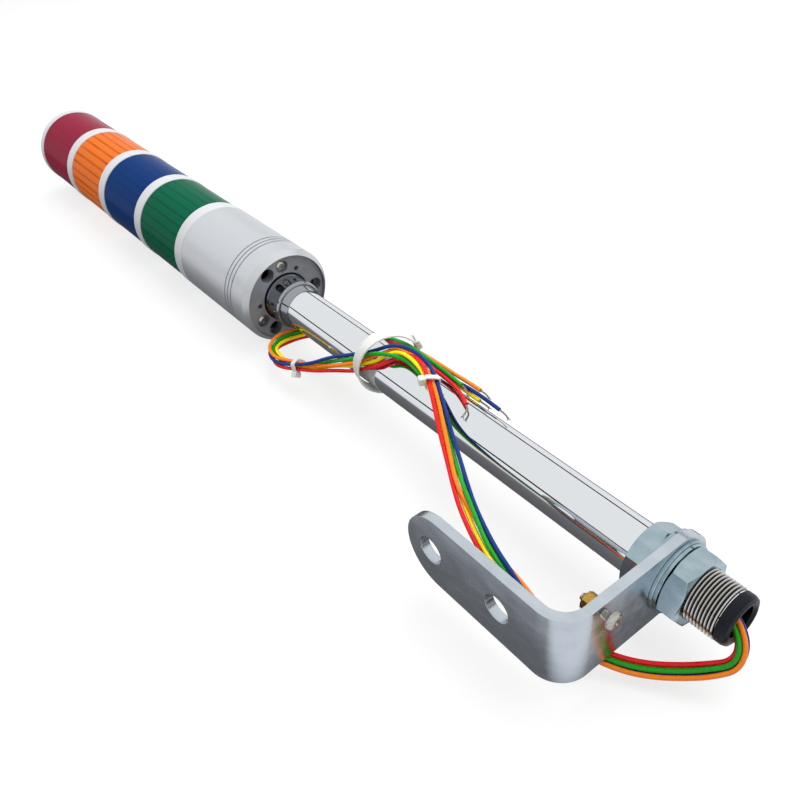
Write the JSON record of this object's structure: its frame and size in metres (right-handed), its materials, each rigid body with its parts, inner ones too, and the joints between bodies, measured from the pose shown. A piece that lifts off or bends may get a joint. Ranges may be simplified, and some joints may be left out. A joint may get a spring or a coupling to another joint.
{
  "type": "stack light",
  "caption": "Signal stack light with green, blue, orange and red lenses on a chromed pole, an angle wall bracket and tied loose leads.",
  "frame": {"origin": "midway between the bracket's two wall holes, on the face that lies against the wall", "axes": "+Z along the pole towards the lamp head, +Y into the wall, +X to the side away from the earth screw"},
  "size_m": [0.06, 0.095, 0.6686],
  "materials": {
    "zinc_plated": "zinc plated, semi-bright",
    "pole_chrome": "polished chrome plate",
    "bush_rubber": "smooth",
    "earth_brass": "machined",
    "housing_aluminium": "satin anodised",
    "plate_aluminium": "turned",
    "screw_steel": "nickel plated",
    "gasket_rubber": "matte",
    "board_laminate": "solder resist",
    "inner_sheath": "smooth",
    "cap_plastic": "moulded",
    "rod_steel": "threaded rod",
    "tie_nylon": "natural nylon",
    "tinned_copper": "tinned strands",
    "ring_plastic": "silver-white moulding",
    "lens_green": "clear tinted, ribbed inside",
    "lens_blue": "clear tinted, ribbed inside",
    "lens_orange": "clear tinted, ribbed inside",
    "lens_red": "clear tinted, ribbed inside",
    "lamp_laminate": "white solder resist",
    "lamp_body": "moulded",
    "sheath_red": "smooth sheath",
    "sheath_green": "smooth sheath",
    "sheath_yellow": "smooth sheath",
    "sheath_blue": "smooth sheath",
    "sheath_orange": "smooth sheath"
  },
  "bodies": {
    "root": {"bracket": "zinc_plated", "pole": "pole_chrome", "upper_washer": "zinc_plated", "upper_nut": "zinc_plated", "flat_washer": "zinc_plated", "spring_washer": "zinc_plated", "lower_nut": "zinc_plated", "cable_bush": "bush_rubber", "earth_screw": "screw_steel", "earth_nut": "earth_brass", "base_housing": "housing_aluminium", "bottom_plate": "plate_aluminium", "plate_screws": "screw_steel", "collar": "pole_chrome", "collar_gasket": "gasket_rubber", "collar_nut": "earth_brass", "control_board": "board_laminate", "inner_leads": "inner_sheath", "top_cap": "cap_plastic", "stack_rods": "rod_steel", "pole_tie": "tie_nylon", "bundle_tie_loop": "tie_nylon", "bundle_tie_rise": "tie_nylon", "bare_ends": "tinned_copper", "ring_green": "ring_plastic", "lens_green": "lens_green", "lamp_board_green": "lamp_laminate", "lamps_green": "lamp_body", "ring_blue": "ring_plastic", "lens_blue": "lens_blue", "lamp_board_blue": "lamp_laminate", "lamps_blue": "lamp_body", "ring_orange": "ring_plastic", "lens_orange": "lens_orange", "lamp_board_orange": "lamp_laminate", "lamps_orange": "lamp_body", "ring_red": "ring_plastic", "lens_red": "lens_red", "lamp_board_red": "lamp_laminate", "lamps_red": "lamp_body", "lead_red": "sheath_red", "lead_green": "sheath_green", "lead_yellow": "sheath_yellow", "lead_blue": "sheath_blue", "lead_orange": "sheath_orange"}
  },
  "joints": []
}
